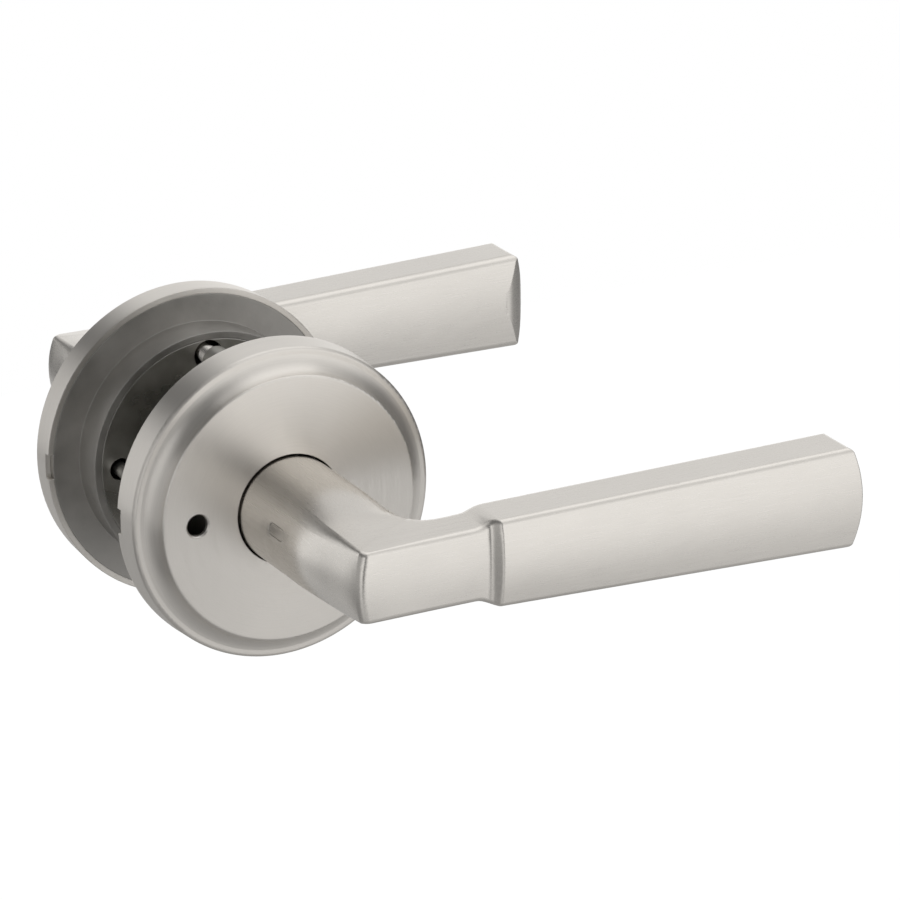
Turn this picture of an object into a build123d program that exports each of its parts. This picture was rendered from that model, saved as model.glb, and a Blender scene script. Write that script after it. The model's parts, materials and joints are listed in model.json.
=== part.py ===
from build123d import *
import math
import os

"""Privacy lever set for a bored interior door, both halves joined on one spindle.

Each half is drawn in its own frame: Z outward from the door face at z = 0, X towards the lever's tip. The exterior half
then faces -Y and the interior half +Y, with the door between them.
"""

os.makedirs("parts", exist_ok=True)

# Door
DOOR_THICKNESS = 35.0
BORE_SPIGOT_R = 26.4  # 54 mm cross bore less 0.6 mm all round

# Rose: a drawn shell with a tapered rim, a narrow ledge, a cove and a flat face
ROSE_R = 33.5
ROSE_WALL = 1.1
ROSE_FACE_Z = 10.73
ROSE_FACE_R = 27.85
RIM_FOOT_Z = 0.9
RIM_TOP_R, RIM_TOP_Z, RIM_ROUND = 33.2, 6.3, 0.75
LEDGE_IN_R = 31.6
COVE_MID, COVE_TOP = (29.45, 8.15), (28.35, 10.15)
FACE_ROUND_MID = (28.22, 10.58)
RIM_INSIDE = ((31.2, 5.95), (32.1, 5.3), (32.3, 2.4))
FACE_INSIDE_R, COVE_INSIDE = 27.25, (28.6, 7.4)
STEM_HOLE_R = 11.75
NOTCH_WIDTH, NOTCH_DEPTH = 5.4, 1.5
LOCK_X = -20.55  # button and release hole, on the latch side
RELEASE_R = 2.25
BUTTON_HOLE_R = 3.8
SCREW_OFFSET = 21.6
POCKET_R, POCKET_DEPTH, POCKET_WALL = 4.1, 2.3, 1.0

# Chassis
LINER_R = 32.28
PLATE_Z = 2.0
BOSS_R, BOSS_Z = 12.4, 5.0
RIB_COUNT, RIB_T, RIB_END_R = 8, 1.4, 30.0
RIB_RISE, RIB_END_RISE = 2.2, 0.4
HOUSING_IN_R = 23.9
HOUSING_Z, HOUSING_FLOOR_Z = -7.9, 0.3
COVER_Z, COVER_T, COVER_R, COVER_HOLE_R = -7.9, 1.0, 24.85, 8.6
BEAD_IN_R, BEAD_OUT_R, BEAD_DEPTH = 13.2, 16.4, 0.5
LUG_IN_R, LUG_OUT_R, LUG_HALF = 18.4, 22.4, 2.5
LUG_Z = -6.4

# Turning pieces
HUB_R = 8.0
HUB_FLAT = 6.6  # half distance across the cam flats
HUB_END_Z, HUB_TIP_Z = -9.6, 36.5
HUB_BORE_R, HUB_BORE_Z = 6.2, 16.0
DRIVE_FLAT, DRIVE_Z = 6.85, 31.0
RUN_FIT = 0.05
BUSHING_R = 9.48
BUSHING_FLANGE_R = 11.8
CAM_Z, CAM_T = -2.4, 1.5
CAM_R = 11.4
ARM_ROOT = (6.0, 5.6)
TAB_IN_R, TAB_OUT_R = 14.4, 17.0
TAB_Z = -6.2
RING_Z, RING_T = -8.9, 0.8
RING_IN_R, RING_OUT_R = 6.95, 10.2
RING_GAP = (6.0, 14.0)
EAR_SPOT, EAR_R, EAR_HOLE_R = (5.0, 9.4), 1.7, 0.8
SPINDLE_SIDE = 7.0
SPINDLE_FIT = 0.1
SPINDLE_EXT_Z, SPINDLE_INT_Z = 15.5, 14.0
PIN_R, PIN_HALF, PIN_Z = 1.0, 7.7, 12.0

# Return spring
COIL_R, WIRE_R = 12.6, 0.65
COIL_TURNS, COIL_PITCH = 2, 1.38
COIL_TOP_Z = -3.3
LEG_Y = LUG_HALF + WIRE_R + 0.03
LEG_END_X = 22.2

# Lever
STEM_R = 11.35
STEM_BACK_Z = 6.3
STEM_BORE_R = 8.03
STEM_BORE_Z = 37.5
ELBOW_X, ELBOW_Z, ELBOW_H = -7.0, 58.0, 7.4  # where the stem's end and the neck's front would meet, if not rounded
SIDE_SLOPE = 0.137  # top and bottom facets spread towards the door
SIDE_FLARE = 0.0045  # and towards the tip
FRONT_FALL = 0.031
NECK_CROWN, PADDLE_CROWN, BACK_CROWN = 0.5, 1.0, 0.6
END_BULGE = 1.55
END_SLOPE = 0.157
NECK_END_X, NECK_BACK, NECK_EDGE_R = 18.4, 47.8, 2.4
# Elbow sections: inside and outside point (x, z), squareness, radius at the back, crown of the outside
STEM_SECTIONS = (
    ((STEM_R, 22.0), (-STEM_R, 22.0), 0.0, 7.0, END_BULGE),
    ((STEM_R, 27.0), (-STEM_R, 27.0), 0.0, 7.0, END_BULGE),
    ((STEM_R, 31.0), (-STEM_R, 31.0), 0.03, 7.0, END_BULGE),
    ((STEM_R, 35.2), (-10.3, 37.0), 0.12, 7.0, END_BULGE),
    ((11.4, 39.5), (-9.05, 45.0), 0.38, 7.0, END_BULGE),
    ((11.6, 43.2), (-7.85, 52.5), 0.76, 6.4, 1.7),
    ((11.85, 45.3), (-7.21, 56.66), 1.0, 5.6, 1.5),
)
ELBOW_SECTIONS = (
    ((12.0, 45.8), (-6.62, 57.57), 1.0, 5.4, 1.35),
    ((12.35, 46.3), (-5.66, 57.96), 1.0, 5.0, 1.1),
)
NECK_SECTIONS = (
    ((13.4, 47.0), 2.0, 4.4, 0.6),
    ((15.6, 47.5), 11.0, 3.2, 0.52),
    ((NECK_END_X, NECK_BACK), NECK_END_X, NECK_EDGE_R, NECK_CROWN),
)
# Angles round the stem, from its latch side, that become the corners and edge middles of the squared sections
STEM_ANGLES = (0, 36, 45, 54, 87, 120, 135, 150, 180, 210, 225, 240, 273, 306, 315, 324)
COVE_X = (20.5, 23.3)  # step in the front, from the neck up to the paddle
COVE_SECTIONS = 7
STEP_END_X = 24.6  # the neck's back and sides sweep out into the paddle's up to here
STEP_LEAD = 1.3  # the sides go ahead of the back
TIP_X, TIP_BULGE = 102.7, 2.0
PADDLE_H, TIP_H = 9.2, 10.85
PADDLE_FRONT, TIP_FRONT = 58.65, 60.3
PADDLE_BACK, TIP_BACK = 47.0, 48.6
PADDLE_EDGE_R = 1.8
FRONT_EDGE_R = 1.3
PADDLE_SLOPE = 0.002
TIP_BACK_R, TIP_CORNER_R = 6.0, 1.6

# Lever catch: a flush oblong plunger in the stem's wall
CATCH_L, CATCH_W = 6.2, 2.3
CATCH_FIT = 0.1
CATCH_TOP_R = 11.3
CATCH_BASE = (8.2, 4.4)
CATCH_BASE_R = (4.3, 5.6)
EXT_CATCH_Z, EXT_CATCH_ANGLE = 27.2, 167.0
INT_CATCH_Z, INT_CATCH_ANGLE = 21.3, -106.0

# Fasteners
POST_R, POST_LENGTH = 3.0, 24.0
POST_HEAD_R, POST_HEAD_T = 4.6, 1.4
THREAD_R, THREAD_DEPTH = 2.1, 16.0
SCREW_R, SCREW_LENGTH = 2.05, 34.0
SCREW_HEAD_R, SCREW_HEAD_T = 3.6, 2.1
SCREW_CLEAR_R = 2.4

# Push button and lock rod
BUTTON_R, BUTTON_PROUD = 2.75, 1.6
COLLAR_R, COLLAR_Z = 3.1, (5.8, 6.8)
GUIDE_FIT = 0.07
GUIDE_R, GUIDE_FOOT_R, GUIDE_FLANGE_R = 3.7, 3.97, 5.6
GUIDE_Z = (-0.4, 10.3)
GUIDE_FLOOR_Z = 0.8
GUIDE_STEP_Z = 7.0
GUIDE_WELL_R = 3.2
ROD_R = 1.5
ROD_SEAT_Z, ROD_TIP_Z = 8.0, 5.0
ROD_FIT = 0.06
LOCK_COLLAR_R, LOCK_COLLAR_L = 2.1, 5.0
BUTTON_WIRE_R, BUTTON_COIL_R, BUTTON_TURNS = 0.25, 2.3, 4

EXTERIOR = Plane(origin=(0, -DOOR_THICKNESS / 2, 0), x_dir=(1, 0, 0), z_dir=(0, -1, 0))
INTERIOR = Plane(origin=(0, DOOR_THICKNESS / 2, 0), x_dir=(1, 0, 0), z_dir=(0, 1, 0))
SCREW_SPOTS = ((0, SCREW_OFFSET), (0, -SCREW_OFFSET))


def drum(radius, low, high, x=0.0, y=0.0):
    """A cylinder along the half's axis from low to high."""
    return Pos(x, y, low) * Cylinder(radius, high - low, align=(Align.CENTER, Align.CENTER, Align.MIN))


def slab(x, y, z):
    """A block from its three (low, high) spans."""
    spans = (x, y, z)
    middle = [(low + high) / 2 for low, high in spans]
    return Pos(*middle) * Box(*[high - low for low, high in spans])


def turned(*edges):
    """A turned solid from its half section in the XZ plane."""
    return revolve(make_face(edges), axis=Axis.Z)


def rose_shell():
    """The drawn rose, common to both sides."""
    lean = RIM_ROUND * math.sqrt(0.5)
    round_x = RIM_TOP_R - RIM_ROUND
    ledge_z = RIM_TOP_Z + RIM_ROUND
    foot, rim_top = (ROSE_R, RIM_FOOT_Z), (RIM_TOP_R, RIM_TOP_Z)
    rim_mid = (round_x + lean, RIM_TOP_Z + lean)
    ledge_out, ledge_in = (round_x, ledge_z), (LEDGE_IN_R, ledge_z)
    face_edge, hole_edge = (ROSE_FACE_R, ROSE_FACE_Z), (STEM_HOLE_R, ROSE_FACE_Z)
    inner_z = ROSE_FACE_Z - ROSE_WALL
    hole_back, face_inside = (STEM_HOLE_R, inner_z), (FACE_INSIDE_R, inner_z)
    cove_foot, rim_inside, skirt = RIM_INSIDE

    def at(point):
        return (point[0], 0, point[1])

    return turned(
        Line(at((ROSE_R, 0)), at(foot)),
        Line(at(foot), at(rim_top)),
        ThreePointArc(at(rim_top), at(rim_mid), at(ledge_out)),
        Line(at(ledge_out), at(ledge_in)),
        ThreePointArc(at(ledge_in), at(COVE_MID), at(COVE_TOP)),
        ThreePointArc(at(COVE_TOP), at(FACE_ROUND_MID), at(face_edge)),
        Line(at(face_edge), at(hole_edge)),
        Line(at(hole_edge), at(hole_back)),
        Line(at(hole_back), at(face_inside)),
        ThreePointArc(at(face_inside), at(COVE_INSIDE), at(cove_foot)),
        Line(at(cove_foot), at(rim_inside)),
        Line(at(rim_inside), at(skirt)),
        Line(at(skirt), at((skirt[0], 0))),
        Line(at((skirt[0], 0)), at((ROSE_R, 0))),
    )


def pry_notch():
    """The slot in the rim's back edge where the rose is pried off."""
    return slab((-ROSE_R - 1, -ROSE_R + 2.5), (-NOTCH_WIDTH / 2, NOTCH_WIDTH / 2), (-0.1, NOTCH_DEPTH))


def edged_hole(radius, x, break_edge):
    """A hole through the rose's face with a broken front edge."""
    mouth = ROSE_FACE_Z - break_edge
    hole = drum(radius, ROSE_FACE_Z - 2 * ROSE_WALL, ROSE_FACE_Z + 0.1, x)
    bevel = Cone(radius, radius + break_edge, break_edge, align=(Align.CENTER, Align.CENTER, Align.MIN))
    return hole + Pos(x, 0, mouth) * bevel


def exterior_rose():
    return rose_shell() - pry_notch() - edged_hole(RELEASE_R, LOCK_X, 0.35)


def interior_rose():
    """The rose with the button's hole and the two drawn screw pockets."""
    rose = rose_shell() - pry_notch() - edged_hole(BUTTON_HOLE_R, LOCK_X, 0.3)
    floor = ROSE_FACE_Z - POCKET_DEPTH
    for x, y in SCREW_SPOTS:
        rose += drum(POCKET_R + POCKET_WALL, floor - POCKET_WALL, ROSE_FACE_Z - 0.5, x, y)
        rose -= drum(POCKET_R, floor, ROSE_FACE_Z + 0.1, x, y)
        rose -= drum(SCREW_CLEAR_R, floor - POCKET_WALL - 0.1, floor + 0.1, x, y)
    return rose


def liner():
    """The chassis plate: flange on the door, spigot in the bore, bearing boss and spring lug."""
    body = drum(LINER_R, 0, PLATE_Z) + drum(BOSS_R, PLATE_Z - 0.5, BOSS_Z) + drum(BORE_SPIGOT_R, HOUSING_Z, 0.5)
    body -= drum(HOUSING_IN_R, HOUSING_Z - 0.1, HOUSING_FLOOR_Z)
    body -= drum(COVER_R + 0.05, HOUSING_Z - 0.1, COVER_Z + COVER_T)
    rib = make_face(
        Polyline(
            (BOSS_R - 1, 0, PLATE_Z - 0.5),
            (RIB_END_R, 0, PLATE_Z - 0.5),
            (RIB_END_R, 0, PLATE_Z + RIB_END_RISE),
            (BOSS_R, 0, PLATE_Z + RIB_RISE),
            (BOSS_R - 1, 0, PLATE_Z + RIB_RISE),
            close=True,
        )
    )
    rib = extrude(rib, amount=RIB_T / 2, dir=(0, 1, 0), both=True)
    for index in range(RIB_COUNT):
        body += Rot(0, 0, (index + 0.5) * 360 / RIB_COUNT) * rib
    lug = slab((LUG_IN_R, LUG_OUT_R), (-LUG_HALF, LUG_HALF), (LUG_Z, 0.5))
    body += lug
    return body - drum(BUSHING_R + 0.02, -1, BOSS_Z + 1)


def exterior_liner():
    """The chassis plate with the staked posts' seats and the lock rod's guide hole."""
    body = liner()
    for x, y in SCREW_SPOTS:
        body -= drum(POST_R + 0.02, -0.1, PLATE_Z + 1, x, y)
        body -= drum(POST_R + 0.3, HOUSING_Z - 0.1, HOUSING_FLOOR_Z, x, y)
    return body - drum(ROD_R + ROD_FIT, -0.1, PLATE_Z + 1, LOCK_X)


def interior_liner():
    """The chassis plate with pillars under the screw pockets and the button guide's seat."""
    body = liner()
    pillar_z = ROSE_FACE_Z - POCKET_DEPTH - POCKET_WALL
    for x, y in SCREW_SPOTS:
        body += drum(POCKET_R + 0.3, PLATE_Z - 0.5, pillar_z, x, y)
        body -= drum(SCREW_CLEAR_R, -0.1, pillar_z + 0.1, x, y)
        body -= drum(SCREW_CLEAR_R + 0.9, HOUSING_Z - 0.1, HOUSING_FLOOR_Z, x, y)
    return body - drum(GUIDE_FOOT_R + 0.03, GUIDE_Z[0] - 0.5, PLATE_Z + 0.1, LOCK_X)


def bushing():
    """A flanged plain bearing for the hub."""
    body = drum(BUSHING_R, -0.7, BOSS_Z + 0.1) + drum(BUSHING_FLANGE_R, BOSS_Z, BOSS_Z + 0.9)
    body = chamfer(body.edges().filter_by(GeomType.CIRCLE).sort_by(Axis.Z)[-1], 0.3)
    return body - drum(HUB_R + RUN_FIT, -1, BOSS_Z + 2)


def oblong(length, width, low, high, z, angle):
    """An oblong prism that stands radially on the stem, long way along the stem."""
    outline = Plane(origin=(low, 0, z), x_dir=(0, 0, 1), z_dir=(1, 0, 0)) * SlotOverall(length, width)
    return Rot(0, 0, angle) * extrude(outline, amount=high - low)


def hub(catch_z, catch_angle):
    """The drive tube: cam flats, clip groove, spindle socket, catch window and drive flats."""
    body = drum(HUB_R, HUB_END_Z, HUB_TIP_Z)
    across = (-HUB_R - 1, HUB_R + 1)
    for side in (1, -1):
        cam_side = sorted((side * HUB_FLAT, side * (HUB_R + 1)))
        drive_side = sorted((side * DRIVE_FLAT, side * (HUB_R + 1)))
        body -= slab(across, cam_side, (HUB_END_Z - 1, CAM_Z + CAM_T + 0.05))
        body -= slab(across, drive_side, (DRIVE_Z, HUB_TIP_Z + 1))
    groove = drum(HUB_R + 1, RING_Z - 0.05, RING_Z + RING_T + 0.05) - drum(
        RING_IN_R - 0.05, RING_Z - 1, RING_Z + RING_T + 1
    )
    socket = SPINDLE_SIDE / 2 + SPINDLE_FIT
    body -= groove
    body -= slab((-socket, socket), (-socket, socket), (HUB_END_Z - 1, HUB_BORE_Z + 0.1))
    body -= drum(HUB_BORE_R, HUB_BORE_Z, HUB_TIP_Z + 1)
    window = CATCH_L + 2 * CATCH_FIT, CATCH_W + 2 * CATCH_FIT
    return body - oblong(*window, 3, HUB_R + 1, catch_z, catch_angle)


def cross_hole():
    """The hole of the spindle's cross pin, in the exterior hub and the spindle."""
    return Pos(0, 0, PIN_Z) * Rot(90, 0, 0) * Cylinder(PIN_R + 0.02, 4 * PIN_HALF)


def cam():
    """The keyed plate with a turned-down tab between the return spring's legs."""
    plate = drum(CAM_R, CAM_Z, CAM_Z + CAM_T)
    root_x, root_half = ARM_ROOT
    arm = Polyline(
        (root_x, -root_half), (TAB_OUT_R, -LUG_HALF), (TAB_OUT_R, LUG_HALF), (root_x, root_half), close=True
    )
    plate += Pos(0, 0, CAM_Z) * extrude(make_face(arm), amount=CAM_T)
    plate += slab((TAB_IN_R, TAB_OUT_R), (-LUG_HALF, LUG_HALF), (TAB_Z, CAM_Z + CAM_T))
    bore = drum(HUB_R + 0.03, CAM_Z - 1, CAM_Z + CAM_T + 1)
    flats = slab((-HUB_R - 1, HUB_R + 1), (-HUB_FLAT - 0.03, HUB_FLAT + 0.03), (CAM_Z - 1, CAM_Z + CAM_T + 1))
    return plate - (bore & flats)


def return_spring():
    """A torsion spring whose two legs grip the fixed lug and the cam's tab."""
    start = math.degrees(math.asin(LEG_Y / COIL_R))
    turn = 360 * COIL_TURNS - 2 * start
    rise = COIL_PITCH * turn / 360
    coil = Helix(COIL_PITCH, rise, COIL_R)
    section = Plane(origin=coil @ 0, z_dir=coil % 0) * Circle(WIRE_R)
    spring = Rot(0, 0, start) * Pos(0, 0, COIL_TOP_Z - rise) * sweep(section, path=coil)
    leg_x = COIL_R * math.cos(math.radians(start))
    for y, z in ((LEG_Y, COIL_TOP_Z - rise), (-LEG_Y, COIL_TOP_Z)):
        leg = Plane(origin=(leg_x, y, z), z_dir=(1, 0, 0)) * Circle(WIRE_R)
        spring += extrude(leg, amount=LEG_END_X - leg_x)
        spring += Pos(leg_x, y, z) * Sphere(WIRE_R)
    return spring


def spring_cover(openings):
    """A pressed plate with a stiffening bead that closes the spring housing."""
    low, high = COVER_Z, COVER_Z + COVER_T
    bead_start, bead_end = (BEAD_IN_R, 0, low), (BEAD_OUT_R, 0, low)
    bead_mid = ((BEAD_IN_R + BEAD_OUT_R) / 2, 0, low - BEAD_DEPTH)
    cover = turned(
        Line((COVER_HOLE_R, 0, low), bead_start),
        ThreePointArc(bead_start, bead_mid, bead_end),
        Line(bead_end, (COVER_R, 0, low)),
        Line((COVER_R, 0, low), (COVER_R, 0, high)),
        Line((COVER_R, 0, high), (COVER_HOLE_R, 0, high)),
        Line((COVER_HOLE_R, 0, high), (COVER_HOLE_R, 0, low)),
    )
    for x, y, radius in openings:
        cover -= drum(radius, low - 1, high + 1, x, y)
    return cover


def retaining_ring():
    """An open clip with two pliers' ears, in the hub's groove."""
    ring = drum(RING_OUT_R, RING_Z, RING_Z + RING_T) - drum(RING_IN_R, RING_Z - 1, RING_Z + RING_T + 1)
    gap_half, gap_reach = RING_GAP
    gap = Polyline((0, 0), (-gap_half, gap_reach), (gap_half, gap_reach), close=True)
    ring -= Pos(0, 0, RING_Z - 1) * extrude(make_face(gap), amount=RING_T + 2)
    for side in (1, -1):
        x, y = side * EAR_SPOT[0], EAR_SPOT[1]
        ring += drum(EAR_R, RING_Z, RING_Z + RING_T, x, y)
        ring -= drum(EAR_HOLE_R, RING_Z - 1, RING_Z + RING_T + 1, x, y)
    return ring


def side_height(x, z):
    """Half height of the elbow's and neck's sloping top and bottom facets."""
    return ELBOW_H + SIDE_FLARE * (x - ELBOW_X) + SIDE_SLOPE * (ELBOW_Z - z)


def neck_front(x):
    return ELBOW_Z - FRONT_FALL * (x - ELBOW_X)


def edge_round(half, slope, front, crown):
    """Start, middle and end (y, s) of the round between a section's crowned front and its sloping side."""
    tilt = math.atan2(2 * crown, half)
    inward = Vector(-math.cos(tilt), math.sin(tilt), 0)
    backward = Vector(slope, -1, 0).normalized()
    half_angle = math.radians(inward.get_angle(backward)) / 2
    corner = Vector(half, front, 0)
    reach = FRONT_EDGE_R / math.tan(half_angle)
    middle = (inward + backward).normalized() * (FRONT_EDGE_R / math.sin(half_angle) - FRONT_EDGE_R)
    return [(spot.X, spot.Y) for spot in (corner + inward * reach, corner + middle, corner + backward * reach)]


def bar_points(length, half, slope, edge_r, crown):
    """Edge middles and corners (y, s) by turns round a lever section, with s from its back to its front."""
    foot = half + slope * (length - edge_r)
    lean = edge_r * (1 - math.sqrt(0.5))
    start, mid, end = edge_round(half, slope, length, crown)
    side_mid = ((end[0] + foot) / 2, (end[1] + edge_r) / 2)
    near = [start, mid, end, side_mid, (foot, edge_r), (foot - lean, lean), (foot - edge_r, 0)]
    far = [(-y, s) for y, s in reversed(near)]
    return [(0, length + crown), *near, (0, -BACK_CROWN), *far]


def stem_points(inner, outer):
    """The same points on the stem, narrowed towards the front, where a slanting plane cuts it."""
    run, rise = outer[0] - inner[0], outer[1] - inner[1]
    points = []
    for angle in STEM_ANGLES:
        across, up = -math.cos(math.radians(angle)), math.sin(math.radians(angle))
        z = inner[1] + rise * (STEM_R * across - inner[0]) / run
        half = min(STEM_R, side_height(0, z))
        reach = min(STEM_R, END_BULGE - ELBOW_X + END_SLOPE * (ELBOW_Z - z)) if across < 0 else STEM_R
        points.append((half * up, math.hypot(run, rise) * (reach * across - inner[0]) / run))
    return points


def section(points, inner, outer):
    """A face bounded by arcs and lines through points (y, s), in the plane over the line from inner to outer (x, z)."""
    along = Vector(outer[0] - inner[0], 0, outer[1] - inner[1]).normalized()
    loop = [Vector(inner[0], y, inner[1]) + along * s for y, s in [points[-1], *points]]
    edges = []
    for start, middle, end in zip(loop[::2], loop[1::2], loop[2::2]):
        straight = (start + end - middle * 2).length < 1e-6
        edges.append(Line(start, end) if straight else ThreePointArc(start, middle, end))
    return make_face(edges)


def bar_section(x, half, slope, front, back, edge_r, crown):
    """A lever's cross section at x: crowned front with eased edges, sloping sides, rounded back."""
    return section(bar_points(front - back, half, slope, edge_r, crown), (x, back), (x, front))


def elbow_section(inner, outer, square, edge_r, crown):
    """A section of the elbow, between the round of the stem and the rounded bar of the neck."""
    length = math.dist(inner, outer)
    half = side_height(*outer)
    slope = (side_height(*inner) - half) / length
    bar = bar_points(length, half, slope, edge_r, crown)
    if square < 1:
        bar = [
            (y0 + (y1 - y0) * square, s0 + (s1 - s0) * square)
            for (y0, s0), (y1, s1) in zip(stem_points(inner, outer), bar)
        ]
    return section(bar, inner, outer)


def elbow():
    """The stem's squaring front, the round where its bowed end meets the front, and the neck."""
    stem = [elbow_section(*station) for station in STEM_SECTIONS]
    bend = [stem[-1], *[elbow_section(*station) for station in ELBOW_SECTIONS]]
    neck = [elbow_section(inner, (x, neck_front(x)), 1, edge_r, crown) for inner, x, edge_r, crown in NECK_SECTIONS]
    return loft(stem) + loft(bend) + loft([bend[-1], *neck])


def along_paddle(x, start, end):
    """A paddle size at x, from its start to its tip."""
    return start + (end - start) * (x - COVE_X[1]) / (TIP_X - COVE_X[1])


def paddle_section(x):
    return bar_section(
        x,
        along_paddle(x, PADDLE_H, TIP_H),
        PADDLE_SLOPE,
        along_paddle(x, PADDLE_FRONT, TIP_FRONT),
        along_paddle(x, PADDLE_BACK, TIP_BACK),
        PADDLE_EDGE_R,
        PADDLE_CROWN,
    )


def step_section(x, lift):
    """A section where the neck passes into the paddle: the sides in one sweep, the front lifted through a cove."""
    part = (x - NECK_END_X) / (STEP_END_X - NECK_END_X)
    early = min(part * STEP_LEAD, 1)
    sweep_out, lead_out = part * part * (3 - 2 * part), early * early * (3 - 2 * early)

    def blend(neck, grip, amount):
        return neck + (grip - neck) * amount

    front = neck_front(x)
    return bar_section(
        x,
        blend(side_height(x, front), along_paddle(x, PADDLE_H, TIP_H), lead_out),
        blend(SIDE_SLOPE, PADDLE_SLOPE, lead_out),
        blend(front, along_paddle(x, PADDLE_FRONT, TIP_FRONT), lift),
        blend(NECK_BACK, along_paddle(x, PADDLE_BACK, TIP_BACK), sweep_out),
        blend(NECK_EDGE_R, PADDLE_EDGE_R, sweep_out),
        blend(NECK_CROWN, PADDLE_CROWN, lift),
    )


def step():
    """The neck's flaring end, the cove and the paddle's shoulder. The cove rises slowly and has a tighter shoulder."""
    start, end = COVE_X
    flare = [(x, 0) for x in (NECK_END_X, (NECK_END_X + start) / 2, start)]
    shares = [index / (COVE_SECTIONS - 1) for index in range(COVE_SECTIONS)]
    cove = [(start + (end - start) * share, share**3 * (4 - 3 * share)) for share in shares]
    shoulder = [(x, 1) for x in (end, (end + STEP_END_X) / 2, STEP_END_X)]
    pieces = [loft([step_section(*spot) for spot in spots]) for spots in (flare, cove, shoulder)]
    return pieces[0] + pieces[1] + pieces[2]


def tip_cutter():
    """The space that the bowed tip with its eased corners leaves, spreading towards the door as the sides do."""
    top = TIP_FRONT + 2 * PADDLE_CROWN

    def edge(x):
        drop = top - along_paddle(x, PADDLE_FRONT, TIP_FRONT)
        return along_paddle(x, PADDLE_H, TIP_H) - PADDLE_SLOPE * drop + 0.02

    near, far = edge(COVE_X[0]), edge(TIP_X)
    outline = make_face(
        [
            Line((COVE_X[0], -near), (TIP_X, -far)),
            ThreePointArc((TIP_X, -far), (TIP_X + TIP_BULGE, 0), (TIP_X, far)),
            Line((TIP_X, far), (COVE_X[0], near)),
            Line((COVE_X[0], near), (COVE_X[0], -near)),
        ]
    )
    outline = fillet(outline.vertices().sort_by(Axis.X)[-2:], TIP_CORNER_R)
    spread = math.degrees(math.atan(PADDLE_SLOPE))
    return Pos(0, 0, top) * extrude(outline, amount=-2 * TIP_H, taper=-spread)


def paddle():
    """The flared grip with a bowed tip and a rounded back corner."""
    tip = TIP_X + TIP_BULGE
    bar = loft([paddle_section(x) for x in (STEP_END_X, tip + 1)], ruled=True) & tip_cutter()
    low, high = TIP_BACK - BACK_CROWN, TIP_FRONT + 2 * PADDLE_CROWN
    end = tip + 1
    corner = end - TIP_BACK_R
    lean = TIP_BACK_R * math.sqrt(0.5)
    plan = make_face(
        [
            Line((0, 0, 0), (corner, 0, 0)),
            Line((corner, 0, 0), (corner, 0, low)),
            ThreePointArc((corner, 0, low), (corner + lean, 0, low + TIP_BACK_R - lean), (end, 0, low + TIP_BACK_R)),
            Line((end, 0, low + TIP_BACK_R), (end, 0, high)),
            Line((end, 0, high), (0, 0, high)),
            Line((0, 0, high), (0, 0, 0)),
        ]
    )
    return bar & extrude(plan, amount=2 * TIP_H, dir=(0, 1, 0), both=True)


def lever(catch_z, catch_angle):
    """The die-cast lever with its hub socket and catch window."""
    body = drum(STEM_R, STEM_BACK_Z, STEM_SECTIONS[0][0][1]) + elbow() + step() + paddle()
    bore = drum(STEM_BORE_R, STEM_BACK_Z - 1, STEM_BORE_Z)
    for side in (1, -1):
        flat = sorted((side * (DRIVE_FLAT + 0.03), side * (STEM_BORE_R + 1)))
        bore -= slab((-STEM_R, STEM_R), flat, (DRIVE_Z + 0.3, STEM_BORE_Z + 1))
    window = CATCH_L + 2 * CATCH_FIT, CATCH_W + 2 * CATCH_FIT
    return body - bore - oblong(*window, 5, STEM_R + 1, catch_z, catch_angle)


def lever_catch(catch_z, catch_angle):
    """The catch: an oblong plunger on a wider base, flush with the stem."""
    plunger = oblong(CATCH_L, CATCH_W, CATCH_BASE_R[1] - 0.2, STEM_R + 1, catch_z, 0)
    plunger = plunger & drum(CATCH_TOP_R, 0, STEM_BORE_Z)
    base = oblong(*CATCH_BASE, *CATCH_BASE_R, catch_z, 0)
    return Rot(0, 0, catch_angle) * (plunger + base)


def catch_spring(catch_z, catch_angle):
    """A bent leaf between the catch's base and the far wall of the hub's bore."""
    width, gauge = 5.0, 0.5
    leaf = Polyline((4.0, -2.0), (4.0, 1.6), (-0.2, -1.6), (-5.2, 1.6), (-5.2, -1.6))
    strip = trace(leaf, line_width=gauge)
    leaf_plane = Plane(origin=(0, 0, catch_z - width / 2), x_dir=(1, 0, 0), z_dir=(0, 0, 1))
    return Rot(0, 0, catch_angle) * extrude(leaf_plane * strip, amount=width)


def spindle():
    """The square bar through the latch, with broken ends."""
    length = DOOR_THICKNESS + SPINDLE_EXT_Z + SPINDLE_INT_Z
    bar = Pos(0, 0, SPINDLE_EXT_Z - length / 2) * Box(SPINDLE_SIDE, SPINDLE_SIDE, length)
    ends = bar.faces().filter_by(Axis.Z).edges()
    return chamfer(ends, 0.6) - cross_hole()


def spindle_pin():
    return Pos(0, 0, PIN_Z) * Rot(90, 0, 0) * Cylinder(PIN_R, 2 * PIN_HALF)


def mounting_posts():
    """Two threaded sleeves with staked heads on the exterior plate."""
    head_z = PLATE_Z + POST_HEAD_T
    posts = []
    for x, y in SCREW_SPOTS:
        post = drum(POST_R, -POST_LENGTH, PLATE_Z, x, y) + drum(POST_HEAD_R, PLATE_Z, head_z, x, y)
        rims = post.edges().filter_by(GeomType.CIRCLE).sort_by(Axis.Z)
        post = chamfer([rims[0], rims[-1]], 0.5)
        posts.append(post - drum(THREAD_R, -POST_LENGTH - 1, THREAD_DEPTH - POST_LENGTH, x, y))
    return posts[0] + posts[1]


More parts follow.
